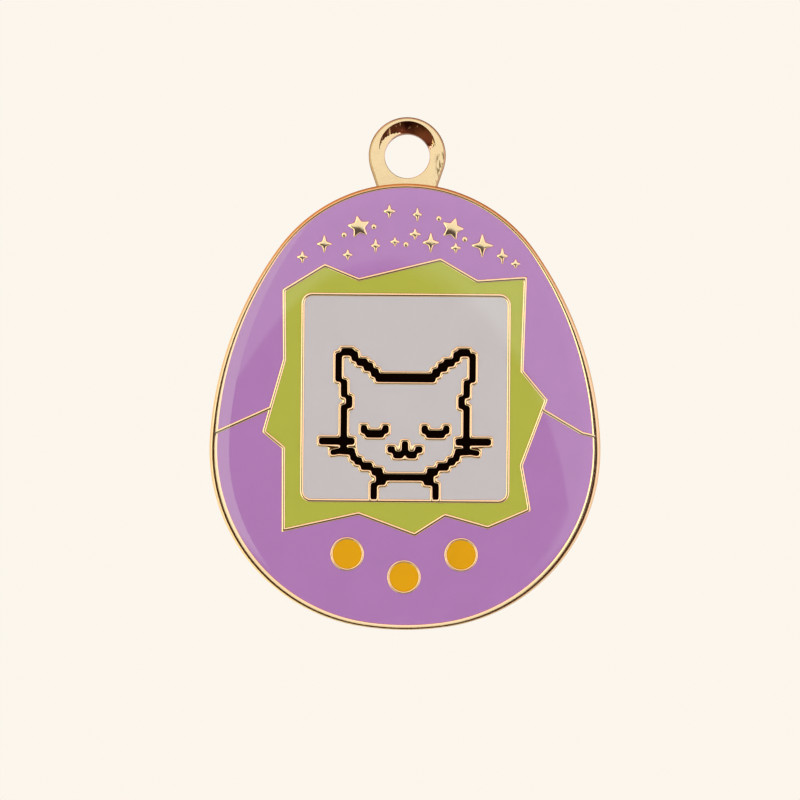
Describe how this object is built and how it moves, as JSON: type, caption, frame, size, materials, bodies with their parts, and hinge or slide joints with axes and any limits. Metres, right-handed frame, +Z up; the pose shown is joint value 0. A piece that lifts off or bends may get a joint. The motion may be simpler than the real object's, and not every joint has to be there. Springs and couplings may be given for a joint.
{
  "type": "enamel keychain charm",
  "caption": "Flat gold-plated enamel charm shaped like an egg-shaped virtual-pet toy, with a cat on its screen, a clear domed coat and a hanging eye.",
  "frame": {"origin": "centre of the hanging eye's hole, at mid thickness of the charm", "axes": "+Z up from the body to the eye, the decorated face looks along -Y, +X to the right as seen from the front"},
  "size_m": [0.038, 0.0026, 0.0498],
  "materials": {
    "gold_plate": "polished light-gold plating",
    "purple_enamel": "glossy opaque enamel",
    "green_enamel": "glossy opaque enamel",
    "pale_enamel": "glossy opaque enamel",
    "black_enamel": "glossy opaque enamel",
    "yellow_enamel": "glossy opaque enamel",
    "clear_coat": "clear domed epoxy"
  },
  "bodies": {
    "root": {"metal_blank": "gold_plate", "enamel_shell_upper": "purple_enamel", "enamel_shell_lower": "purple_enamel", "enamel_jagged_frame": "green_enamel", "enamel_screen": "pale_enamel", "enamel_cat_face": "pale_enamel", "enamel_cat_chest": "pale_enamel", "enamel_cat_outline": "black_enamel", "enamel_eye_left": "black_enamel", "enamel_eye_right": "black_enamel", "enamel_nose_mouth": "black_enamel", "enamel_button_left": "yellow_enamel", "enamel_button_middle": "yellow_enamel", "enamel_button_right": "yellow_enamel", "epoxy_dome": "clear_coat"}
  },
  "joints": []
}
